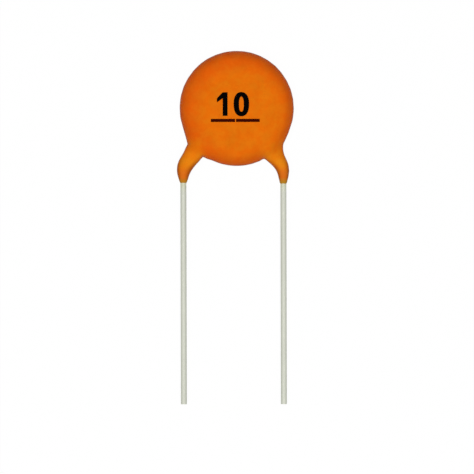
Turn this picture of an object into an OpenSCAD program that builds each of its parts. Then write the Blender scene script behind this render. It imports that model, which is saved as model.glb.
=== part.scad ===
// Ceramic disc capacitor: a ceramic disc with a silver electrode on each face, a tinned
// lead soldered across each electrode, and one dipped coat of resin over it all, which
// runs a little way down both leads.
// It lies on its back. +X is across the leads, +Y goes from the leads to the disc, +Z is
// up, and the origin is on the floor, on the disc's axis. All sizes are in millimetres.

/* [Ceramic disc] */
// Diameter of the ceramic disc
ceramic_d = 9.8; // [8:0.1:11]
// Thickness of the ceramic disc
ceramic_t = 1; // [0.6:0.05:1.5]

/* [Electrodes] */
// Ring of bare ceramic round each electrode
electrode_margin = 0.4; // [0.2:0.05:0.8]
// Thickness of the silver
electrode_t = 0.02; // [0.02:0.01:0.06]

/* [Leads] */
// Diameter of the wire
wire_d = 0.6; // [0.5:0.02:0.7]
// Distance between the two leads
lead_pitch = 10; // [8.5:0.1:11]
// How far the pair of leads sits to the right of the disc's axis
lead_shift = -0.35; // [-0.7:0.05:0.7]
// Bare wire below the lower end of the coat
bare_length = 22; // [4:0.5:40]
// Turn of each lead towards the disc
bend_angle = 33; // [26:1:38]
// Radius of that turn, at the wire's middle
bend_r = 2.25; // [1.8:0.05:2.8]
// How much the wire's radius thins where it is bent
bend_thinning = 0.01; // [0.008:0.001:0.02]
// Straight wire between the turn and the step, on the lead nearer to the disc's axis
bend_to_step = 0.36; // [0.2:0.02:0.8]
// Steepness of the step up to the electrode
step_angle = 40; // [32:1:44]
// Radius of the step's two turns, at the wire's middle
step_r = 0.8; // [0.6:0.05:0.9]
// Gap between the top of the step and the ceramic's rim
step_gap = 0.1; // [0.05:0.05:0.4]
// Wire beyond the point where it passes nearest to the disc's axis
lead_past = 2; // [0.5:0.1:2.6]

/* [Solder] */
// Solder under the wire
solder_film = 0.03; // [0.02:0.01:0.08]
// Solder over the wire
solder_skin = 0.05; // [0.04:0.01:0.12]
// Radius of the solder's hollow sides
solder_fillet = 0.5; // [0.35:0.05:0.7]
// Thickness of the solder's outer edge
solder_edge = 0.04; // [0.02:0.01:0.08]
// Bare silver between the solder and the electrode's rim
solder_margin = 0.4; // [0.2:0.05:1]

/* [Coat] */
// Resin outside the ceramic's rim
coat_rim = 0.79; // [0.6:0.01:1.1]
// Resin over the wires
coat_cover = 0.4; // [0.3:0.05:0.7]
// Width of the rounding round the disc
rim_round = 1.7; // [1.3:0.1:2.2]
// Extra resin that sank to the lower side of the disc
sag = 0.08; // [0:0.01:0.3]
// Reach of the fillets between the disc and the outer sides of the runs
blend = 1.4; // [1:0.05:1.8]
// Resin round the wire where a run ends
run_lip = 0.03; // [0.03:0.01:0.08]
// Softness of the corner where a run starts to taper
taper_soft = 0.2; // [0.1:0.05:0.4]
// Radius of the left run
left_run_r = 0.8; // [0.65:0.01:0.9]
// Length of the left run below its lead's corner
left_run = 1.48; // [1:0.02:2.5]
// Length over which the left run tapers
left_taper = 1.65; // [1.2:0.05:2.4]
// How strongly the left run flares towards the disc, on its inner side
left_flare = 0.1; // [0.02:0.01:0.2]
// Reach of the fillet in the left crotch
left_crotch = 1; // [0.4:0.05:1.4]
// Radius of the right run
right_run_r = 0.75; // [0.65:0.01:0.9]
// Length of the right run below its lead's corner
right_run = 1.58; // [1:0.02:2.5]
// Length over which the right run tapers
right_taper = 2; // [1.2:0.05:2.4]
// How strongly the right run flares towards the disc, on its inner side
right_flare = 0.18; // [0.02:0.01:0.2]
// Reach of the fillet in the right crotch
right_crotch = 0.5; // [0.4:0.05:1.4]

/* [Hidden] */
$fn = 48;

LEFT = 1;
RIGHT = -1;
FRONT = 1;
BACK = -1;

ceramic_r = ceramic_d/2;
wire_r = wire_d/2;
electrode_r = ceramic_r - electrode_margin;
// Height of the disc's middle plane, which is also half the coat's thickness
mid_z = ceramic_t/2 + electrode_t + solder_film + wire_d + coat_cover;
coat_r = ceramic_r + coat_rim;

// The wire's path. A lead comes up straight in the middle plane, turns towards the disc,
// steps up or down onto its electrode, and then lies straight across it.
wire_rise = ceramic_t/2 + electrode_t + solder_film + wire_r;
bend_reach_in = 0.05;
step_slope = (wire_rise - 2*step_r*(1 - cos(step_angle)))/sin(step_angle);
step_length = 2*step_r*sin(step_angle) + step_slope*cos(step_angle);
bend_tangent = bend_r*tan(bend_angle/2);
bend_arc = bend_r*bend_angle*PI/180;
step_top_r = ceramic_r + step_gap;
near_x = lead_pitch/2 - abs(lead_shift);
corner_to_step_top = bend_tangent + bend_to_step + step_length;
corner_y = -corner_to_step_top*cos(bend_angle)
    - sqrt(pow(step_top_r, 2) - pow(near_x - corner_to_step_top*sin(bend_angle), 2));
bend_y = corner_y - bend_tangent;
tip_y = corner_y - max(left_run, right_run) - bare_length;

function lead_x(side) = lead_shift - side*lead_pitch/2;
function corner(side) = [lead_x(side), corner_y];
// Direction of the lead where it crosses the disc
function across(side) = [side*sin(bend_angle), cos(bend_angle)];
// The point where the lead passes nearest to the disc's axis
function foot(side) = corner(side) - (corner(side)*across(side))*across(side);
// Distance from the corner to where the step reaches the electrode's height
function step_top(side) =
    norm(foot(side) - corner(side)) - sqrt(pow(step_top_r, 2) - pow(norm(foot(side)), 2));

// The coat's outline is the smooth union of the disc and the two tapering runs, given
// by how deep a point of the plan lies inside it.
function clamp(v, low, high) = min(max(v, low), high);
function clamp01(v) = clamp(v, 0, 1);
function mix(a, b, t) = a + (b - a)*t;
function ease(v) = let (t = clamp01(v)) t*t*(3 - 2*t);
function merge(a, b, reach) =
    let (h = clamp01(0.5 + (a - b)/reach/2)) mix(b, a, h) + reach*h*(1 - h);

function run_r(side) = side == LEFT ? left_run_r : right_run_r;
function run_taper(side) = side == LEFT ? left_taper : right_taper;
function run_flare(side) = side == LEFT ? left_flare : right_flare;
function run_crotch(side) = side == LEFT ? left_crotch : right_crotch;
// A run's stations are measured along its wire from the start of the bend
function run_end(side) = bend_tangent - (side == LEFT ? left_run : right_run);
// The flare starts this far from the corner along the wire, and grows over this length
flare_from = 0.4;
flare_reach = 2.2;
run_core = bend_arc + corner_to_step_top - bend_tangent + blend;

// How far a point is from a run's wire, its station along the wire, and how far it lies
// to the side of the other run
function beside_run(side, p) =
    let (v = [side*(p.x - lead_shift) + lead_pitch/2 - bend_r, p.y - bend_y],
         turn = atan2(v.y, -v.x),
         w = v - bend_r*[-cos(bend_angle), sin(bend_angle)],
         along = w*across(LEFT),
         aside = w.x*cos(bend_angle) - w.y*sin(bend_angle))
    v.y <= 0 ? [abs(v.x + bend_r), v.y, v.x + bend_r]
    : turn <= bend_angle ? [abs(norm(v) - bend_r), bend_r*turn*PI/180, bend_r - norm(v)]
    : [norm([aside, max(bend_arc + along - run_core, 0)]), bend_arc + along, aside];

// Radius of a run at a station: a cone from the lip round the wire, eased into a tube
function run_radius(side, station) =
    let (full = run_r(side), lip = wire_r + run_lip,
         cone = lip + (full - lip)*(station - run_end(side))/run_taper(side))
    -merge(-full, -cone, taper_soft);

// The outline with a run merged into it. On the side of the other run it flares, and it
// meets the disc in a tighter crotch.
function with_run(depth, side, p) =
    let (b = beside_run(side, p),
         inner = ease(0.5 + b[2]/run_r(side)/2),
         flaring = clamp(b[1] - bend_arc/2 - flare_from, 0, flare_reach),
         radius = run_radius(side, b[1]) + inner*run_flare(side)*pow(flaring, 2))
    merge(depth, radius - b[0], mix(blend, run_crotch(side), inner));

function disc_depth(p) =
    let (r = max(norm(p), 0.01)) coat_r + sag*pow(max(-p.y/r, 0), 2) - r;
function coat_depth(p) = with_run(with_run(disc_depth(p), LEFT, p), RIGHT, p);

// Half the coat's thickness at a point, towards the front or the back. Over the disc it
// is the full half, and on a run it is the run's own radius. On the face that a lead
// climbs to, the coat swells with the wire, and on the other face it starts nearer in.
swell_out_r = norm(corner(RIGHT) + (bend_tangent + bend_to_step)*across(RIGHT));
function coat_height(p, face) =
    let (r = norm(p),
         side = p.x < lead_shift ? LEFT : RIGHT,
         own = clamp01(0.5 - face*(p.x - lead_shift)/lead_pitch),
         with_wire = ease((swell_out_r - r)/(swell_out_r - step_top_r)),
         nearer_in = ease((coat_r + blend/3 - r)/(coat_rim + blend/3)),
         full = mix(nearer_in, with_wire, own),
         radius = run_radius(side, beside_run(side, p)[1]),
         round = mix(radius, rim_round, full),
         crest = mix(radius, mid_z, full),
         rest = 1 - clamp01(coat_depth(p)/round))
    crest*sqrt(1 - rest*rest);

// The coat is lofted through sections. They cross the left run, fan out over the disc
// from a point below it, and cross the right run.
RUN_SECTIONS = 12;
FAN_SECTIONS = 27;
EDGE_HALVINGS = 22;
// A section has steps over its two roundings and over the flat between them, and a
// rounding takes at most this share of it
RIM_STEPS = 6;
FLAT_STEPS = 3;
SECTION_STEPS = 2*RIM_STEPS + FLAT_STEPS;
RIM_SHARE = 0.42;

function heading(angle) = [cos(angle), sin(angle)];
function on_run(side, station) =
    let (turn = clamp01(station/bend_arc)*bend_angle,
         arc = bend_r*[1 - cos(turn), sin(turn)],
         rest = station < 0 ? [0, station] : max(station - bend_arc, 0)*[sin(turn), cos(turn)],
         v = arc + rest)
    [lead_x(side) + side*v.x, bend_y + v.y];
// The run's last section, where its wire passes under the disc's rim
root_r = coat_r + wire_r;
function root_station(side) =
    bend_arc - bend_tangent + norm(foot(side) - corner(side))
    - sqrt(pow(root_r, 2) - pow(norm(foot(side)), 2));
function root(side) = on_run(side, root_station(side));
// Sections on a run are square to it, and the last one leans halfway to the rim's line
function square_angle(side, turn) = 90 + side*(90 - turn);
function root_angle(side) =
    (square_angle(side, bend_angle) + atan2(root(side).y, root(side).x) + (side == LEFT ? 270 : 90))/2;
function run_angle(side, station) =
    let (turn = clamp01(station/bend_arc)*bend_angle,
         lean = clamp01((station - bend_arc)/(root_station(side) - bend_arc)))
    mix(square_angle(side, turn), root_angle(side), lean);

// The fan's point is where the two roots' lines meet
function crossing(a, u, b, v) = a + u*cross(b - a, v)/cross(u, v);
fan = crossing(root(LEFT), heading(root_angle(LEFT)), root(RIGHT), heading(root_angle(RIGHT)));

function edge(p, u, inner, outer, halvings) =
    let (middle = (inner + outer)/2)
    halvings == 0 ? p + middle*u
    : coat_depth(p + middle*u) > 0 ? edge(p, u, middle, outer, halvings - 1)
    : edge(p, u, inner, middle, halvings - 1);

// A section is the two ends of a line across the outline
function section(p, angle, near_reach, far_reach) =
    let (u = heading(angle))
    [edge(p, -u, 0, near_reach, EDGE_HALVINGS), edge(p, u, 0, far_reach, EDGE_HALVINGS)];
function run_section(side, i) =
    let (station = mix(run_end(side), root_station(side), i/RUN_SECTIONS),
         reach = run_r(side) + blend)
    section(on_run(side, station), run_angle(side, station), reach, reach);
function fan_section(i) =
    let (angle = mix(root_angle(LEFT), root_angle(RIGHT), i/FAN_SECTIONS),
         reach = -fan*heading(angle))
    section(fan + reach*heading(angle), angle, reach, 2*coat_r + blend);

// Shares of a section's length, close together over the two roundings
function share(j, rim) =
    j <= RIM_STEPS ? rim*(1 - cos(90*j/RIM_STEPS))
    : j > SECTION_STEPS - RIM_STEPS ? 1 - share(SECTION_STEPS - j, rim)
    : mix(rim, 1 - rim, (j - RIM_STEPS)/FLAT_STEPS);

// The ring of points round a section, over the front and back along the back
function ring(ends) =
    let (rim = min(rim_round/norm(ends[1] - ends[0]), RIM_SHARE))
    [for (j = [0:2*SECTION_STEPS - 1])
        let (over = j <= SECTION_STEPS,
             p = mix(ends[0], ends[1], share(over ? j : 2*SECTION_STEPS - j, rim)),
             face = over ? FRONT : BACK,
             on_edge = j == 0 || j == SECTION_STEPS)
        [p.x, p.y, on_edge ? 0 : face*coat_height(p, face)]];

// Closed solid through rings that all have the same number of points
module loft(rings) {
    n = len(rings[0]);
    last = len(rings) - 1;
    sides = [for (i = [0:last - 1], j = [0:n - 1])
        let (a = i*n + j, b = i*n + (j + 1)%n)
        each [[a, b, b + n], [a, b + n, a + n]]];
    caps = [[for (j = [n - 1:-1:0]) j], [for (j = [0:n - 1]) last*n + j]];
    polyhedron([for (r = rings) each r], concat(sides, caps));
}

// Wire that follows moves, each a straight length and then a turn of an angle and a
// radius, bending towards an angle round the wire. A bend is drawn out a little thinner,
// and its ends reach into the straights.
module wire(moves, i = 0) {
    if (i < len(moves)) {
        ahead = moves[i][0];
        turn = moves[i][1];
        radius = moves[i][2];
        towards = moves[i][3];
        reach_in = bend_reach_in/radius*180/PI;
        cylinder(h = ahead, r = wire_r);
        if (turn > 0)
            translate([0, 0, ahead]) rotate([0, 0, towards]) translate([radius, 0, 0]) {
                mirror([1, 0, 0]) rotate([90, 0, 0]) rotate([0, 0, -reach_in])
                    rotate_extrude(angle = turn + 2*reach_in)
                        translate([radius, 0]) circle(r = wire_r - bend_thinning);
                rotate([0, turn, 0]) translate([-radius, 0, 0]) rotate([0, 0, -towards])
                    wire(moves, i + 1);
            }
    }
}

// Places what is drawn for the right lead, from the middle of the pair. For the left lead
// it is turned over.
module for_lead(side)
    translate([lead_shift, 0, mid_z]) rotate([0, side == LEFT ? 180 : 0, 0]) children();

// A lead from its tip up to its inner end. The right one goes to the back electrode.
module lead(side) {
    to_step = step_top(side) - step_length - bend_tangent;
    on_disc = norm(foot(side) - corner(side)) - step_top(side) + lead_past;
    for_lead(side) translate([lead_pitch/2, tip_y, 0]) rotate([-90, 0, 0])
        wire([[bend_y - tip_y, bend_angle, bend_r, 180],
              [to_step, step_angle, step_r, 90],
              [step_slope, step_angle, step_r, -90],
              [on_disc, 0, 0, 0]]);
}

// The solder's outline as half widths and heights: a thin edge, a hollow side, and a skin
// over the wire that ends in a narrow flat crown
ARC_STEPS = 4;
CROWN_ANGLE = 84;
skin_r = wire_r + solder_skin;
wire_above = solder_film + wire_r;
fillet_lean = asin((solder_fillet + solder_edge - wire_above)/(solder_fillet + skin_r));
solder_half = (solder_fillet + skin_r)*cos(fillet_lean);
solder_outline = concat(
    [[solder_half, 0]],
    [for (i = [0:ARC_STEPS])
        [solder_half, solder_fillet + solder_edge]
        + solder_fillet*heading(mix(270, 180 + fillet_lean, i/ARC_STEPS))],
    [for (i = [1:ARC_STEPS])
        [0, wire_above] + skin_r*heading(mix(fillet_lean, CROWN_ANGLE, i/ARC_STEPS))]);

// Level ring round a line from one x to another: straight sides and half-round ends
ROUND_STEPS = 9;
function slot_ring(from_x, to_x, half_w, z) =
    [for (i = [0:2*ROUND_STEPS + 1])
        let (far_end = i > ROUND_STEPS, turn = 180*(i - (far_end ? 1 : 0))/ROUND_STEPS)
        [(far_end ? to_x : from_x) - half_w*sin(turn), -half_w*cos(turn), z]];

// The whole mound of solder on one electrode, with the wire's own space filled in
module solder_mound(side) {
    start = solder_half
        - sqrt(pow(electrode_r - solder_margin, 2) - pow(norm(foot(side)), 2));
    place = [side*(lead_shift - foot(side).x), foot(side).y, -ceramic_t/2 - electrode_t];
    for_lead(side) translate(place) rotate([0, 0, 90 + bend_angle]) mirror([0, 0, 1])
        loft([for (q = solder_outline) slot_ring(start, lead_past, q.x, q.y)]);
}

module electrode(face)
    translate([0, 0, mid_z + face*ceramic_t/2 - (face == BACK ? electrode_t : 0)])
        cylinder(h = electrode_t, r = electrode_r);

// Sintered ceramic, a plain disc
module ceramic_disc()
    color("tan") translate([0, 0, mid_z - ceramic_t/2]) cylinder(h = ceramic_t, r = ceramic_r);

module front_electrode() color("silver") electrode(FRONT);

module back_electrode() color("silver") electrode(BACK);

// Solder that holds the left lead to the front electrode
module front_solder()
    color("lightgray") difference() {
        solder_mound(LEFT);
        lead(LEFT);
    }

// Solder that holds the right lead to the back electrode
module back_solder()
    color("lightgray") difference() {
        solder_mound(RIGHT);
        lead(RIGHT);
    }

module left_lead() color("gainsboro") lead(LEFT);

module right_lead() color("gainsboro") lead(RIGHT);

// Dipped resin, one piece, which fills every space round the pieces inside it
module coating() {
    left_rings = [for (i = [0:RUN_SECTIONS - 1]) ring(run_section(LEFT, i))];
    disc_rings = [for (i = [0:FAN_SECTIONS]) ring(fan_section(i))];
    right_rings = [for (i = [RUN_SECTIONS - 1:-1:0]) ring(run_section(RIGHT, i))];
    color([0.88, 0.44, 0.06]) difference() {
        translate([0, 0, mid_z]) loft(concat(left_rings, disc_rings, right_rings));
        ceramic_disc();
        electrode(FRONT);
        electrode(BACK);
        solder_mound(LEFT);
        solder_mound(RIGHT);
        lead(LEFT);
        lead(RIGHT);
    }
}

coating();
ceramic_disc();
front_electrode();
back_electrode();
front_solder();
back_solder();
left_lead();
right_lead();
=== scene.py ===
import math

import bpy
from mathutils import Matrix, Vector


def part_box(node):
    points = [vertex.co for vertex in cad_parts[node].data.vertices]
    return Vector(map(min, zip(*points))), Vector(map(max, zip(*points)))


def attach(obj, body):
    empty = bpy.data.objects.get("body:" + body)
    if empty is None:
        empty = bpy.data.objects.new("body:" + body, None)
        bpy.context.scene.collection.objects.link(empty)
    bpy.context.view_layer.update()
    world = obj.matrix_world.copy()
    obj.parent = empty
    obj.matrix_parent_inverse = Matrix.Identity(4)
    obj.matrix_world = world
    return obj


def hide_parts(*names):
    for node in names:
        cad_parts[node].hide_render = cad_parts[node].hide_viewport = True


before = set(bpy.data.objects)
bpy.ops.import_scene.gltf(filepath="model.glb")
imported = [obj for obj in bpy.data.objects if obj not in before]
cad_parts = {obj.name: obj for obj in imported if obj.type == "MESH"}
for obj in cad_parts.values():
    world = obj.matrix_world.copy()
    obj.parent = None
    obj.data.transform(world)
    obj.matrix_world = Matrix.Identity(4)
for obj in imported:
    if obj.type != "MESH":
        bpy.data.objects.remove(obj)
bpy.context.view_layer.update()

# ---------------------------------------------------------------------------------------
# Camera. The part lies on its back on a table and is looked at from straight above, with
# the disc at the top of the view and the two leads hanging down from it.

# Sizes are written in millimetres, and Blender takes metres
MM = 0.001
VIEW_MIDDLE_X = 0
VIEW_MIDDLE_Y = -12.9
VIEW_WIDTH = 47.4
VIEW_TURN = math.radians(-0.14)
LENS = 150
SENSOR = 36
NEAREST_SEEN_M = 0.01
FARTHEST_SEEN_M = 2

coat_low, coat_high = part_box("coating")
middle_z = (coat_low.z + coat_high.z)/2

camera = bpy.data.objects.new("camera", bpy.data.cameras.new("camera"))
bpy.context.scene.collection.objects.link(camera)
camera.data.lens = LENS
camera.data.sensor_width = SENSOR
camera.data.clip_start = NEAREST_SEEN_M
camera.data.clip_end = FARTHEST_SEEN_M
camera.location = (VIEW_MIDDLE_X*MM, VIEW_MIDDLE_Y*MM, middle_z + VIEW_WIDTH*MM*LENS/SENSOR)
camera.rotation_euler = (0, 0, VIEW_TURN)
bpy.context.scene.camera = camera
bpy.context.scene.view_settings.view_transform = "Standard"

# ---------------------------------------------------------------------------------------
# Ceramic disc, electrodes and solder. The disc is pressed and sintered, silver is fired
# onto its two faces, and a mound of solder on each holds a lead. The coat hides them, so
# they keep the solids' shapes and only get finishes of their own.


def linear(red, green, blue):
    """An sRGB colour of 0 to 255 as the linear colour that shaders take."""
    return tuple((c/255/12.92 if c < 11 else ((c/255 + 0.055)/1.055)**2.4)
                 for c in (red, green, blue)) + (1,)


def build_mottle():
    """Soft blotches over a piece, as values round 1 and as heights for a bump."""
    group = bpy.data.node_groups.new("mottle", "ShaderNodeTree")
    for name, value in (("Size mm", 1), ("Depth", 0.1), ("Detail", 2)):
        socket = group.interface.new_socket(name=name, in_out="INPUT",
                                            socket_type="NodeSocketFloat")
        socket.default_value = value
    stretch = group.interface.new_socket(name="Stretch", in_out="INPUT",
                                         socket_type="NodeSocketVector")
    stretch.default_value = (1, 1, 1)
    for name in ("Factor", "Height"):
        group.interface.new_socket(name=name, in_out="OUTPUT", socket_type="NodeSocketFloat")
    nodes, links = group.nodes, group.links
    given = nodes.new("NodeGroupInput")
    out = nodes.new("NodeGroupOutput")
    place = nodes.new("ShaderNodeTexCoord")
    stretched = nodes.new("ShaderNodeVectorMath")
    stretched.operation = "MULTIPLY"
    per_mm = nodes.new("ShaderNodeMath")
    per_mm.operation = "DIVIDE"
    per_mm.inputs[0].default_value = 1/MM
    noise = nodes.new("ShaderNodeTexNoise")
    noise.inputs["Roughness"].default_value = 0.55
    centred = nodes.new("ShaderNodeMath")
    centred.operation = "SUBTRACT"
    centred.inputs[1].default_value = 0.5
    factor = nodes.new("ShaderNodeMath")
    factor.operation = "MULTIPLY_ADD"
    factor.inputs[2].default_value = 1
    links.new(place.outputs["Object"], stretched.inputs[0])
    links.new(given.outputs["Stretch"], stretched.inputs[1])
    links.new(given.outputs["Size mm"], per_mm.inputs[1])
    links.new(stretched.outputs["Vector"], noise.inputs["Vector"])
    links.new(per_mm.outputs[0], noise.inputs["Scale"])
    links.new(given.outputs["Detail"], noise.inputs["Detail"])
    links.new(noise.outputs["Fac"], centred.inputs[0])
    links.new(centred.outputs[0], factor.inputs[0])
    links.new(given.outputs["Depth"], factor.inputs[1])
    links.new(factor.outputs[0], out.inputs["Factor"])
    links.new(noise.outputs["Fac"], out.inputs["Height"])
    return group


mottle = build_mottle()


class Finish:
    """A material being built: its nodes, its links and its one shader."""

    def __init__(self, name, roughness, metallic=0, specular=0.5):
        self.material = bpy.data.materials.new(name)
        self.material.use_nodes = True
        self.nodes = self.material.node_tree.nodes
        self.shader = self.nodes["Principled BSDF"]
        self.shader.inputs["Roughness"].default_value = roughness
        self.shader.inputs["Metallic"].default_value = metallic
        self.shader.inputs["Specular IOR Level"].default_value = specular

    def link(self, source, target):
        self.material.node_tree.links.new(source, target)

    def mottled(self, size, depth=0, detail=2, stretch=(1, 1, 1)):
        """Blotches of this size in millimetres. Factor strays from 1 by half the depth."""
        made = self.nodes.new("ShaderNodeGroup")
        made.node_tree = mottle
        made.inputs["Size mm"].default_value = size
        made.inputs["Depth"].default_value = depth
        made.inputs["Detail"].default_value = detail
        made.inputs["Stretch"].default_value = stretch
        return made

    def levelness(self):
        """1 where the surface faces up or down, and 0 where it stands upright."""
        place = self.nodes.new("ShaderNodeTexCoord")
        parts = self.nodes.new("ShaderNodeSeparateXYZ")
        self.link(place.outputs["Normal"], parts.inputs[0])
        return self.math("ABSOLUTE", parts.outputs["Z"], 0)

    def place_mm(self):
        """The place on the piece in millimetres, as a vector."""
        place = self.nodes.new("ShaderNodeTexCoord")
        scaled = self.nodes.new("ShaderNodeVectorMath")
        scaled.operation = "SCALE"
        scaled.inputs["Scale"].default_value = 1/MM
        self.link(place.outputs["Object"], scaled.inputs[0])
        return scaled.outputs["Vector"]

    def along(self, place, axis):
        """The part of a place along one axis."""
        parts = self.nodes.new("ShaderNodeSeparateXYZ")
        self.link(place, parts.inputs[0])
        return parts.outputs[axis]

    def out_from(self, place, middle):
        """The distance of a place from the upright axis through middle."""
        flat = self.nodes.new("ShaderNodeVectorMath")
        flat.operation = "MULTIPLY_ADD"
        flat.inputs[1].default_value = (1, 1, 0)
        flat.inputs[2].default_value = [-c for c in middle]
        length = self.nodes.new("ShaderNodeVectorMath")
        length.operation = "LENGTH"
        self.link(place, flat.inputs[0])
        self.link(flat.outputs["Vector"], length.inputs[0])
        return length.outputs["Value"]

    def ramp(self, value, start, end):
        """0 at start, 1 at end, eased between."""
        made = self.nodes.new("ShaderNodeMapRange")
        made.interpolation_type = "SMOOTHSTEP"
        made.inputs["From Min"].default_value = start
        made.inputs["From Max"].default_value = end
        self.link(value, made.inputs["Value"])
        return made.outputs["Result"]

    def math(self, operation, first, second):
        """One calculation. An input is a number or the socket that it comes from."""
        made = self.nodes.new("ShaderNodeMath")
        made.operation = operation
        for socket, value in zip(made.inputs, (first, second)):
            if isinstance(value, (int, float)):
                socket.default_value = value
            else:
                self.link(value, socket)
        return made.outputs[0]

    def mix(self, share, first, second, blend="MIX"):
        """Two colours mixed. An input is a value or the socket that it comes from."""
        made = self.nodes.new("ShaderNodeMix")
        made.data_type = "RGBA"
        made.blend_type = blend
        # Its colours go in at sockets 6 and 7 and come out at 2
        for socket, value in zip((made.inputs[0], made.inputs[6], made.inputs[7]),
                                 (share, first, second)):
            if isinstance(value, (int, float, tuple)):
                socket.default_value = value
            else:
                self.link(value, socket)
        return made.outputs[2]

    def times(self, *colours):
        """Colours and shades multiplied together."""
        product = colours[0]
        for colour in colours[1:]:
            product = self.mix(1.0, product, colour, "MULTIPLY")
        return product

    def paint(self, colour):
        self.link(colour, self.shader.inputs["Base Color"])

    def bump(self, height, relief, strength=1):
        """Lets the light see a relief of this many millimetres."""
        made = self.nodes.new("ShaderNodeBump")
        made.inputs["Distance"].default_value = relief*MM
        made.inputs["Strength"].default_value = strength
        self.link(height, made.inputs["Height"])
        self.link(made.outputs["Normal"], self.shader.inputs["Normal"])

    def give(self, piece):
        piece.data.materials.clear()
        piece.data.materials.append(self.material)


def speckled(name, colour, size, depth, detail, relief, **shine):
    """A finish of one colour with spots that are both darker and lower."""
    finish = Finish(name, **shine)
    spots = finish.mottled(size, depth, detail)
    finish.paint(finish.times(colour, spots.outputs["Factor"]))
    finish.bump(spots.outputs["Height"], relief)
    return finish


CERAMIC = linear(196, 176, 140)
SILVER = linear(214, 212, 206)
SOLDER = linear(190, 192, 194)

ceramic = speckled("sintered_ceramic", CERAMIC, size=0.12, depth=0.25, detail=4, relief=0.01,
                   roughness=0.6)
silver = speckled("fired_silver", SILVER, size=0.2, depth=0.2, detail=3, relief=0.006,
                  roughness=0.45, metallic=0.8)
solder = speckled("soft_solder", SOLDER, size=0.3, depth=0.2, detail=3, relief=0.01,
                  roughness=0.35, metallic=0.9)
for finish, names in ((ceramic, ("ceramic_disc",)),
                      (silver, ("front_electrode", "back_electrode")),
                      (solder, ("front_solder", "back_solder"))):
    for node in names:
        finish.give(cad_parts[node])

# ---------------------------------------------------------------------------------------
# Leads. Two lengths of tin-coated steel wire, cut square at the tip. Each comes up straight,
# turns towards the disc, steps out of the middle plane onto its electrode and lies across
# it under solder. The left one is drawn like the right one and then turned over.

WIRE_R = 0.3
WIRE_SIDES = 28
LEAD_STRAIGHT = 22.9135
TURN, TURN_R = math.radians(33), 2.25
STEP, STEP_R = math.radians(40), 0.8
STEP_SLOPE = 0.74
# Straight wire from the turn to the step, and from the step to the end on the disc
RIGHT_LENGTHS = (0.36, 6.9614)
LEFT_LENGTHS = (0.8505, 6.8521)
# Rings of the mesh along the straight, the turn, each bend of the step, and the end
STRAIGHT_PARTS, TURN_PARTS, STEP_PARTS, END_PARTS = 24, 12, 8, 4
CUT_BEVEL = 0.05
CUT_DEPTH = 0.01
WELD = 0.001
SMOOTH_BELOW = math.radians(35)
PAIR_MIDDLE_X = -0.35

lead_low, lead_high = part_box("right_lead")


def start_piece():
    """Leaves nothing selected, so that the next operator touches only its own mesh."""
    if bpy.context.mode != "OBJECT":
        bpy.ops.object.mode_set(mode="OBJECT")
    bpy.ops.object.select_all(action="DESELECT")


def pick(piece):
    """Selects one piece, alone."""
    start_piece()
    piece.select_set(True)
    bpy.context.view_layer.objects.active = piece


def place_in_mesh(piece):
    """Puts the object at the origin, unturned and unscaled, with its place in its mesh."""
    pick(piece)
    bpy.ops.object.transform_apply(location=True, rotation=True, scale=True)


def edit_all(kind):
    """Opens the active piece in edit mode with all its edges or faces selected."""
    bpy.ops.object.mode_set(mode="EDIT")
    bpy.ops.mesh.select_mode(type=kind)
    bpy.ops.mesh.select_all(action="SELECT")


def select_verts(piece, wanted):
    """In edit mode, selects the vertices for which wanted(place) is true."""
    bpy.ops.mesh.select_all(action="DESELECT")
    bpy.ops.object.mode_set(mode="OBJECT")
    for vertex in piece.data.vertices:
        vertex.select = wanted(vertex.co)
    bpy.ops.object.mode_set(mode="EDIT")


class Wire:
    """A wire that is drawn on from its tip by straight lengths and bends."""

    def __init__(self, tip, heading):
        self.end, self.heading = Vector(tip), Vector(heading)
        bpy.ops.mesh.primitive_circle_add(vertices=WIRE_SIDES, radius=WIRE_R*MM, location=tip,
                                          rotation=(math.radians(90), 0, 0))
        self.piece = bpy.context.object
        place_in_mesh(self.piece)
        edit_all("EDGE")

    def straight(self, length, parts=1):
        for _ in range(parts):
            step = self.heading*length*MM/parts
            bpy.ops.mesh.extrude_region_move(TRANSFORM_OT_translate={"value": step})
            self.end = self.end + step

    def bend(self, angle, radius, towards, parts):
        towards = Vector(towards)
        towards = (towards - towards.dot(self.heading)*self.heading).normalized()
        axis = self.heading.cross(towards)
        centre = self.end + towards*radius*MM
        bpy.ops.mesh.spin(steps=parts, angle=-angle, center=centre, axis=axis)
        turned = Matrix.Rotation(angle, 3, axis)
        self.end = centre + turned @ (self.end - centre)
        self.heading = turned @ self.heading


def draw_lead(name, turn_to_step, across_disc):
    """A lead as the right one lies, from its cut tip to its end on the back electrode."""
    start_piece()
    wire = Wire((lead_high.x - WIRE_R*MM, lead_low.y, middle_z), (0, 1, 0))
    wire.straight(LEAD_STRAIGHT, STRAIGHT_PARTS)
    wire.bend(TURN, TURN_R, (-1, 0, 0), TURN_PARTS)
    along_disc = wire.heading.copy()
    wire.straight(turn_to_step)
    wire.bend(STEP, STEP_R, (0, 0, -1), STEP_PARTS)
    wire.straight(STEP_SLOPE)
    wire.bend(STEP, STEP_R, along_disc, STEP_PARTS)
    wire.straight(across_disc, END_PARTS)
    bpy.ops.mesh.select_all(action="SELECT")
    bpy.ops.mesh.remove_doubles(threshold=WELD*MM)
    bpy.ops.mesh.fill_holes(sides=0)
    bpy.ops.mesh.select_all(action="SELECT")
    bpy.ops.mesh.normals_make_consistent(inside=False)
    select_verts(wire.piece, lambda co: co.y < lead_low.y + CUT_DEPTH*MM)
    bpy.ops.mesh.bevel(offset=CUT_BEVEL*MM, segments=2, affect="EDGES")
    wire.piece.name = name
    pick(wire.piece)
    bpy.ops.object.shade_smooth_by_angle(angle=SMOOTH_BELOW)
    return wire.piece


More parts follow.
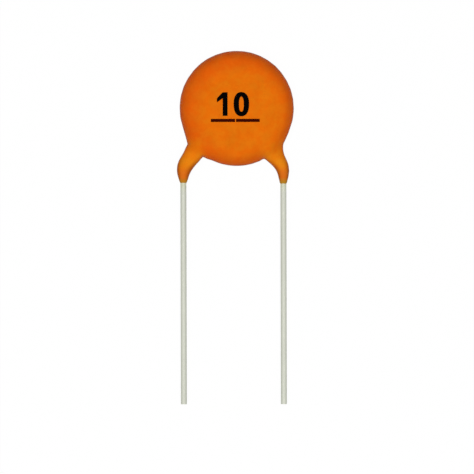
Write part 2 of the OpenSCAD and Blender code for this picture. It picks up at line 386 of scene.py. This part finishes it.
right_lead = draw_lead("right_lead_wire", *RIGHT_LENGTHS)
left_lead = draw_lead("left_lead_wire", *LEFT_LENGTHS)
left_lead.matrix_world = (Matrix.Translation((PAIR_MIDDLE_X*MM, 0, middle_z))
                          @ Matrix.Rotation(math.pi, 4, "Y")
                          @ Matrix.Translation((-PAIR_MIDDLE_X*MM, 0, -middle_z)))
place_in_mesh(left_lead)

TIN = linear(208, 210, 197)
# Painted shade: the wire's upright sides are drawn darker than its crest
TIN_SIDE_SHADE = linear(197, 200, 186)
SIDE_SHADE_LEVEL = (0.97, 0.72)
CLEAN = (1, 1, 1, 1)
STAIN = (1, 1, 0.86, 1)
STAIN_Y = (-8.6, -7.5)
# A share under 1 draws a pattern out along the wire
DULL_DRAWN_OUT = 0.35
LINES_DRAWN_OUT = 0.03

tinned = Finish("tinned_wire", roughness=0.38, metallic=0.55, specular=0.3)
y = tinned.along(tinned.place_mm(), "Y")
dull = tinned.mottled(size=0.8, depth=0.12, detail=3, stretch=(1, DULL_DRAWN_OUT, 1))
drawn = tinned.mottled(size=0.09, depth=0.08, stretch=(1, LINES_DRAWN_OUT, 1))
# Painted shade towards the wire's sides, by how level the surface is
colour = tinned.mix(tinned.ramp(tinned.levelness(), *SIDE_SHADE_LEVEL), TIN, TIN_SIDE_SHADE)
stained = tinned.mix(tinned.ramp(y, *STAIN_Y), CLEAN, STAIN)
tinned.paint(tinned.times(colour, stained, dull.outputs["Factor"], drawn.outputs["Factor"]))
tinned.bump(drawn.outputs["Height"], relief=0.01, strength=0.4)

for lead, node in ((left_lead, "left_lead"), (right_lead, "right_lead")):
    tinned.give(lead)
    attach(lead, "root")
    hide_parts(node)

# ---------------------------------------------------------------------------------------
# Dipped coat. One skin of orange epoxy resin over the disc and the roots of the leads. The
# part is dipped with its leads up, so the resin runs a little way along each of them and
# thins out to a feather edge on the wire.

DISC_SIDES = 128
DISC_BEVEL = 1.5
DISC_BEVEL_STEPS = 8
# A face of the disc is level if its normal stands up at least this much
LEVEL = 0.9
RUN_SIDES = 32
RUN_LIP = 0.33
RUNS = {
    # wire x, tip y, and rows of length, turn in degrees, half width and half height
    "left": (-5.35, -7.54, [(0.41, 0, 0.45, 0.45), (0.41, 0, 0.56, 0.56),
                           (0.33, 8.25, 0.65, 0.65), (0.33, 8.25, 0.73, 0.73),
                           (0.33, 8.25, 0.78, 0.79), (0.33, 8.25, 0.8, 0.84),
                           (0.6, 0, 0.88, 1.0), (0.8, 0, 1.0, 1.25), (1.2, 0, 1.0, 1.35)]),
    "right": (4.65, -7.65, [(0.46, 0, 0.43, 0.43), (0.46, 0, 0.52, 0.52),
                           (0.33, 8.25, 0.59, 0.59), (0.33, 8.25, 0.65, 0.66),
                           (0.33, 8.25, 0.7, 0.72), (0.33, 8.25, 0.74, 0.78),
                           (0.6, 0, 0.82, 1.0), (0.8, 0, 1.0, 1.25), (1.2, 0, 1.0, 1.35)]),
}
COAT_VOXEL = 0.1
COAT_PROUD = 0.05
SOFTEN_JOINS = 8
SOFTEN_SKIN = 24
# Bare length at a run's tip that keeps its own shape, and the length over which it fades
TIP_BARE = 0.12
TIP_FADE = 0.35
# Where the disc meets the runs: x, y, and how far the coat is pulled in along x and y
NOTCHES = ((-3.4, -5.1, 0, 0.24), (2.72, -5.2, 0, 0.16), (-5.0, -3.6, 0.14, 0),
           (4.5, -3.6, -0.05, 0))
NOTCH_REACH = 0.55
NOTCH_POWER = 1.5
UNEVEN_SIZE = 3
UNEVEN_HEIGHT = 0.05


def apply_modifier(piece, kind, **values):
    """Adds one modifier with these values and applies it."""
    modifier = piece.modifiers.new(kind.lower(), kind)
    for name, value in values.items():
        setattr(modifier, name, value)
    pick(piece)
    bpy.ops.object.modifier_apply(modifier=modifier.name)


def join(parts):
    """Joins the parts to one mesh, in the first of them."""
    start_piece()
    for part in parts:
        part.select_set(True)
    bpy.context.view_layer.objects.active = parts[0]
    bpy.ops.object.join()
    return bpy.context.object


def model_disc():
    """A disc with rounded rims, as thick as the coat."""
    start_piece()
    bpy.ops.mesh.primitive_cylinder_add(vertices=DISC_SIDES, radius=coat_high.y,
                                        depth=coat_high.z - coat_low.z,
                                        location=(0, 0, middle_z))
    disc = bpy.context.object
    place_in_mesh(disc)
    bpy.ops.object.mode_set(mode="EDIT")
    bpy.ops.mesh.select_mode(type="FACE")
    bpy.ops.mesh.select_all(action="DESELECT")
    bpy.ops.object.mode_set(mode="OBJECT")
    for face in disc.data.polygons:
        face.select = abs(face.normal.z) > LEVEL
    bpy.ops.object.mode_set(mode="EDIT")
    bpy.ops.mesh.bevel(offset=DISC_BEVEL*MM, segments=DISC_BEVEL_STEPS, profile=0.5)
    bpy.ops.object.mode_set(mode="OBJECT")
    return disc


def model_run(wire_x, tip_y, rows, inwards):
    """A run of resin along a lead: a ring at its tip, extruded and turned towards the disc."""
    start_piece()
    middle = Vector((wire_x*MM, tip_y*MM, middle_z))
    bpy.ops.mesh.primitive_circle_add(vertices=RUN_SIDES, radius=RUN_LIP*MM, fill_type="NGON",
                                      location=middle, rotation=(math.radians(90), 0, 0))
    run = bpy.context.object
    place_in_mesh(run)
    edit_all("FACE")
    heading, wide, tall = 0, RUN_LIP, RUN_LIP
    for ahead, turn, next_wide, next_tall in rows:
        mean = math.radians(heading + turn/2)
        step = Vector((inwards*math.sin(mean), math.cos(mean), 0))*ahead*MM
        bpy.ops.mesh.extrude_region_move(TRANSFORM_OT_translate={"value": step})
        middle = middle + step
        if turn:
            bpy.ops.transform.rotate(value=inwards*math.radians(turn), orient_axis="Z",
                                     center_override=middle)
        widen, thicken = next_wide/wide, next_tall/tall
        bpy.ops.transform.resize(value=(widen, widen, thicken), center_override=middle)
        heading, wide, tall = heading + turn, next_wide, next_tall
    bpy.ops.mesh.select_all(action="SELECT")
    bpy.ops.mesh.normals_make_consistent(inside=False)
    bpy.ops.object.mode_set(mode="OBJECT")
    return run


disc_form = model_disc()
left_form = model_run(*RUNS["left"], 1)
right_form = model_run(*RUNS["right"], -1)
dipped_coat = join([disc_form, left_form, right_form])
dipped_coat.name = "dipped_coat"

apply_modifier(dipped_coat, "REMESH", mode="VOXEL", voxel_size=COAT_VOXEL*MM)
apply_modifier(dipped_coat, "SMOOTH", factor=0.5, iterations=SOFTEN_JOINS)

# The skin is drawn onto the solid, but the tips of the runs keep their own feather edge
held = dipped_coat.vertex_groups.new(name="held_to_solid")
for vertex in dipped_coat.data.vertices:
    tip_y = RUNS["left" if vertex.co.x < 0 else "right"][1]
    share = (vertex.co.y/MM - tip_y - TIP_BARE)/TIP_FADE
    held.add([vertex.index], min(max(share, 0), 1), "REPLACE")
apply_modifier(dipped_coat, "SHRINKWRAP", target=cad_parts["coating"],
               wrap_method="NEAREST_SURFACEPOINT", wrap_mode="ABOVE_SURFACE",
               offset=COAT_PROUD*MM, vertex_group="held_to_solid")
apply_modifier(dipped_coat, "SMOOTH", factor=0.5, iterations=SOFTEN_SKIN,
               vertex_group="held_to_solid")

for notch_x, notch_y, pull_x, pull_y in NOTCHES:
    for vertex in dipped_coat.data.vertices:
        away = math.hypot(vertex.co.x/MM - notch_x, vertex.co.y/MM - notch_y)
        share = max(1 - away/NOTCH_REACH, 0)**NOTCH_POWER
        vertex.co.x += pull_x*MM*share
        vertex.co.y += pull_y*MM*share

uneven = bpy.data.textures.new("uneven_skin", "CLOUDS")
uneven.noise_scale = UNEVEN_SIZE*MM
uneven.noise_depth = 1
apply_modifier(dipped_coat, "DISPLACE", texture=uneven, texture_coords="LOCAL",
               strength=UNEVEN_HEIGHT*MM, mid_level=0.5, vertex_group="held_to_solid")
dipped_coat.vertex_groups.clear()
bpy.ops.object.shade_smooth()

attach(dipped_coat, "root")
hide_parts("coating")

FACE = linear(225, 111, 8)
# Painted shade: the resin is drawn darker and redder towards the rim
RIM_SHADE = linear(222, 95, 9)
# Painted shade on the upright faces at the rim's edge and along the runs' sides
EDGE = linear(192, 86, 14)
# Painted highlight: lighter, yellower resin along the upper runs
KNEE_HIGHLIGHT = linear(230, 130, 16)
SHIN = linear(215, 106, 22)
# Painted shade on the sloping sides of the runs towards their tips
SHIN_SIDE_SHADE = linear(182, 92, 14)
TIP = linear(182, 126, 34)
REDDER = (1.01, 0.94, 0.8, 1)
YELLOWER = (0.98, 1.05, 1.2, 1)
# From where to where each colour comes in. It goes by the distance from a middle, by y,
# or by how level the surface is.
# The painted rim shade's middle sits right of and below the disc's, so the top and left are
# shaded more
RIM_SHADE_MIDDLE = (0.4, -0.55, 0)
RIM_SHADE_OUT = (3.3, 5.4)
RUNS_ASIDE = (2.4, 3.6)
ROOT_Y = (-2.6, -3.8)
KNEE_HIGHLIGHT_Y = (-4.0, -5.4)
SHIN_Y = (-5.6, -6.6)
SHIN_SIDE_SHADE_Y = (-4.8, -6.2)
TIP_Y = (-6.9, -7.5)
SHIN_SIDE_SHADE_LEVEL = (1, 0.55)
EDGE_SHADE_LEVEL = (0.5, 0.1)
HUE_RANGE = (0.35, 0.65)

resin = Finish("dipped_resin", roughness=0.45, specular=0.05)
place = resin.place_mm()
x, y = resin.along(place, "X"), resin.along(place, "Y")
level = resin.levelness()
aside = resin.math("ABSOLUTE", resin.math("SUBTRACT", x, PAIR_MIDDLE_X), 0)
on_runs = resin.ramp(aside, *RUNS_ASIDE)
root = resin.math("MULTIPLY", on_runs, resin.ramp(y, *ROOT_Y))
knee_highlight = resin.math("MULTIPLY", on_runs, resin.ramp(y, *KNEE_HIGHLIGHT_Y))
shin = resin.math("MULTIPLY", on_runs, resin.ramp(y, *SHIN_SIDE_SHADE_Y))
rim_shade = resin.math("MULTIPLY", resin.ramp(resin.out_from(place, RIM_SHADE_MIDDLE), *RIM_SHADE_OUT),
                 resin.math("SUBTRACT", 1, root))
shin_side_shade = resin.math("MULTIPLY", shin, resin.ramp(level, *SHIN_SIDE_SHADE_LEVEL))
# Over the face colour: painted rim shade, a painted highlight on the runs, the shins' colour,
# painted shade on the shins' sides and on upright faces, and the tips' colour
colour = resin.mix(rim_shade, FACE, RIM_SHADE)
colour = resin.mix(knee_highlight, colour, KNEE_HIGHLIGHT)
colour = resin.mix(resin.ramp(y, *SHIN_Y), colour, SHIN)
colour = resin.mix(shin_side_shade, colour, SHIN_SIDE_SHADE)
colour = resin.mix(resin.ramp(level, *EDGE_SHADE_LEVEL), colour, EDGE)
colour = resin.mix(resin.ramp(y, *TIP_Y), colour, TIP)
hue = resin.ramp(resin.mottled(size=0.8).outputs["Height"], *HUE_RANGE)
tint = resin.mix(hue, REDDER, YELLOWER)
blotches = resin.mottled(size=1.4, depth=0.24)
specks = resin.mottled(size=0.4, depth=0.1)
resin.paint(resin.times(colour, tint, blotches.outputs["Factor"], specks.outputs["Factor"]))
resin.bump(resin.mottled(size=0.5, detail=3).outputs["Height"], relief=0.02, strength=0.5)
resin.give(dipped_coat)

# ---------------------------------------------------------------------------------------
# Mark. Two digits and a bar under each, stamped in black ink on the front of the coat. The
# ink is a film that follows the resin under it.

INK_THICK = 0.012
INK_LIFT = 0.01
INK_CUTS = 11
INK_WELD = 0.002
OVAL_SIDES = 72
OVAL_POWER = 2.3
# The corners of each stroke, in order round it
STEM = ((-1.4, -0.79), (-0.91, -0.79), (-0.91, 0.96), (-1.4, 0.96))
HEAD = ((-1.4, 0.96), (-0.91, 0.96), (-0.91, 1.57), (-1.4, 1.57))
FLAG = ((-1.98, 0.57), (-1.4, 0.96), (-1.4, 1.57), (-1.98, 0.97))
# Middle, and half width and half height outside and inside
NOUGHT = ((0.47, 0.38), (0.77, 1.2), (0.235, 0.75))
LEFT_BAR = ((-2.58, -1.4), (-0.17, -1.4), (-0.17, -1.09), (-2.58, -1.09))
RIGHT_BAR = ((-0.08, -1.4), (2.3, -1.4), (2.3, -1.09), (-0.08, -1.09))
# The front face stands nearer to the eye than the middle plane, in which the mark's
# places are written, so they are drawn in towards the middle of the view
FRONT_SHARE = 1/(1 + (coat_high.z - middle_z)/(camera.location.z - coat_high.z))

# The ink is drawn a little over the coat and then laid down onto it
over_coat = coat_high.z + MM


def on_front(x, y):
    return (VIEW_MIDDLE_X + (x - VIEW_MIDDLE_X)*FRONT_SHARE,
            VIEW_MIDDLE_Y + (y - VIEW_MIDDLE_Y)*FRONT_SHARE)


def ink_quad(corners):
    """A plane whose four corners are moved to these places, in order round it."""
    start_piece()
    bpy.ops.mesh.primitive_plane_add(size=MM, location=(0, 0, 0))
    quad = bpy.context.object
    first, second, third, fourth = corners
    for vertex, corner in zip(quad.data.vertices, (first, second, fourth, third)):
        x, y = on_front(*corner)
        vertex.co = (x*MM, y*MM, over_coat)
    return quad


def ink_ring(middle, outer, inner):
    """An oval stroke: an outer and an inner squarish oval, bridged."""
    start_piece()
    x, y = on_front(*middle)
    bpy.ops.mesh.primitive_circle_add(vertices=OVAL_SIDES, radius=MM,
                                      location=(x*MM, y*MM, over_coat))
    ring = bpy.context.object
    for vertex in ring.data.vertices:
        across, along = vertex.co.x/MM, vertex.co.y/MM
        vertex.co *= (abs(across)**OVAL_POWER + abs(along)**OVAL_POWER)**(-1/OVAL_POWER)
    edit_all("EDGE")
    bpy.ops.transform.resize(value=(outer[0], outer[1], 1))
    bpy.ops.mesh.duplicate()
    bpy.ops.transform.resize(value=(inner[0]/outer[0], inner[1]/outer[1], 1))
    bpy.ops.mesh.select_all(action="SELECT")
    bpy.ops.mesh.bridge_edge_loops()
    bpy.ops.object.mode_set(mode="OBJECT")
    place_in_mesh(ring)
    return ring


def stamp(parts, name):
    """Joins the parts, lays them on the coat and gives them the thickness of ink."""
    piece = join(parts)
    piece.name = name
    place_in_mesh(piece)
    edit_all("EDGE")
    bpy.ops.mesh.remove_doubles(threshold=INK_WELD*MM)
    bpy.ops.mesh.subdivide(number_cuts=INK_CUTS)
    bpy.ops.mesh.normals_make_consistent(inside=False)
    bpy.ops.object.mode_set(mode="OBJECT")
    if piece.data.polygons[0].normal.z < 0:
        piece.data.flip_normals()
    apply_modifier(piece, "SHRINKWRAP", target=dipped_coat, wrap_method="PROJECT",
                   use_project_z=True, use_negative_direction=True,
                   use_positive_direction=False, offset=INK_LIFT*MM)
    apply_modifier(piece, "SOLIDIFY", thickness=INK_THICK*MM, offset=1)
    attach(piece, "root")
    return piece


mark_digits = stamp([ink_quad(STEM), ink_quad(HEAD), ink_quad(FLAG), ink_ring(*NOUGHT)],
                    "mark_digits")
mark_bars = stamp([ink_quad(LEFT_BAR), ink_quad(RIGHT_BAR)], "mark_bars")

DIGITS_BLACK = linear(2, 1, 1)
BARS_BLACK = linear(56, 7, 2)

for piece, black in ((mark_digits, DIGITS_BLACK), (mark_bars, BARS_BLACK)):
    ink = speckled(piece.name + "_ink", black, size=0.5, depth=0.3, detail=2, relief=0.002,
                   roughness=0.6, specular=0.02)
    ink.give(piece)

# ---------------------------------------------------------------------------------------
# Table and light. A white table under the part, a large soft lamp overhead and an even
# white sky. Seen from above the table is white and keeps part of the part's shadow. To
# everything else it is clear, so the back of the part is lit and shows from below.

TABLE_SIZE = 2000
# The share of the table's white that the part's shadow leaves alone
TABLE_SHOWN = 0.97
TABLE_WHITE = 0.95
TABLE_ROUGH = 0.9
LAMP_SIZE = 300
LAMP_X, LAMP_Y, LAMP_HEIGHT = -12, -60, 400
LAMP_POWER = 1.4
SKY = 0.25

start_piece()
rest_z = min(vertex.co.z for vertex in dipped_coat.data.vertices)
bpy.ops.mesh.primitive_plane_add(size=TABLE_SIZE*MM, location=(0, 0, rest_z))
table = bpy.context.object
place_in_mesh(table)
table.name = "table"


def seen(tree):
    """1 where a ray comes from the eye, off a gloss or through a clear piece, and else 0."""
    rays = tree.nodes.new("ShaderNodeLightPath")
    direct = rays.outputs["Is Camera Ray"]
    for kind in ("Is Glossy Ray", "Is Transmission Ray"):
        either = tree.nodes.new("ShaderNodeMath")
        either.operation = "MAXIMUM"
        tree.links.new(direct, either.inputs[0])
        tree.links.new(rays.outputs[kind], either.inputs[1])
        direct = either.outputs[0]
    return direct


def mix_shaders(tree, share, first, second):
    """Two shaders mixed by a share, which is a number or the socket that it comes from."""
    mixed = tree.nodes.new("ShaderNodeMixShader")
    if isinstance(share, (int, float)):
        mixed.inputs[0].default_value = share
    else:
        tree.links.new(share, mixed.inputs[0])
    tree.links.new(first.outputs[0], mixed.inputs[1])
    tree.links.new(second.outputs[0], mixed.inputs[2])
    return mixed


table_top = bpy.data.materials.new("white_table")
table_top.use_nodes = True
tree = table_top.node_tree
matt = tree.nodes["Principled BSDF"]
matt.inputs["Roughness"].default_value = TABLE_ROUGH
matt.inputs["Specular IOR Level"].default_value = 0
matt.inputs["Base Color"].default_value = (TABLE_WHITE, TABLE_WHITE, TABLE_WHITE, 1)
white = tree.nodes.new("ShaderNodeEmission")
clear = tree.nodes.new("ShaderNodeBsdfTransparent")
side = tree.nodes.new("ShaderNodeNewGeometry")
from_above = tree.nodes.new("ShaderNodeMath")
from_above.operation = "GREATER_THAN"
tree.links.new(seen(tree), from_above.inputs[0])
tree.links.new(side.outputs["Backfacing"], from_above.inputs[1])
topside = mix_shaders(tree, TABLE_SHOWN, matt, white)
either_side = mix_shaders(tree, from_above.outputs[0], clear, topside)
tree.links.new(either_side.outputs[0], tree.nodes["Material Output"].inputs["Surface"])
table.data.materials.append(table_top)

world = bpy.data.worlds.new("white_room")
bpy.context.scene.world = world
world.use_nodes = True
tree = world.node_tree
backdrop = tree.nodes["Background"]
backdrop.inputs["Color"].default_value = (1, 1, 1, 1)
# What is seen of the sky is white, and the part is lit by less of it
strength = tree.nodes.new("ShaderNodeMapRange")
strength.inputs["To Min"].default_value = SKY
strength.inputs["To Max"].default_value = 1
tree.links.new(seen(tree), strength.inputs["Value"])
tree.links.new(strength.outputs["Result"], backdrop.inputs["Strength"])

lamp = bpy.data.objects.new("overhead_lamp", bpy.data.lights.new("overhead_lamp", "AREA"))
bpy.context.scene.collection.objects.link(lamp)
lamp.data.shape = "DISK"
lamp.data.size = LAMP_SIZE*MM
lamp.data.energy = LAMP_POWER
lamp.visible_glossy = False
lamp.location = (LAMP_X*MM, LAMP_Y*MM, LAMP_HEIGHT*MM)
lamp.rotation_euler = (Vector((0, 0, 0)) - lamp.location).to_track_quat("-Z", "Y").to_euler()
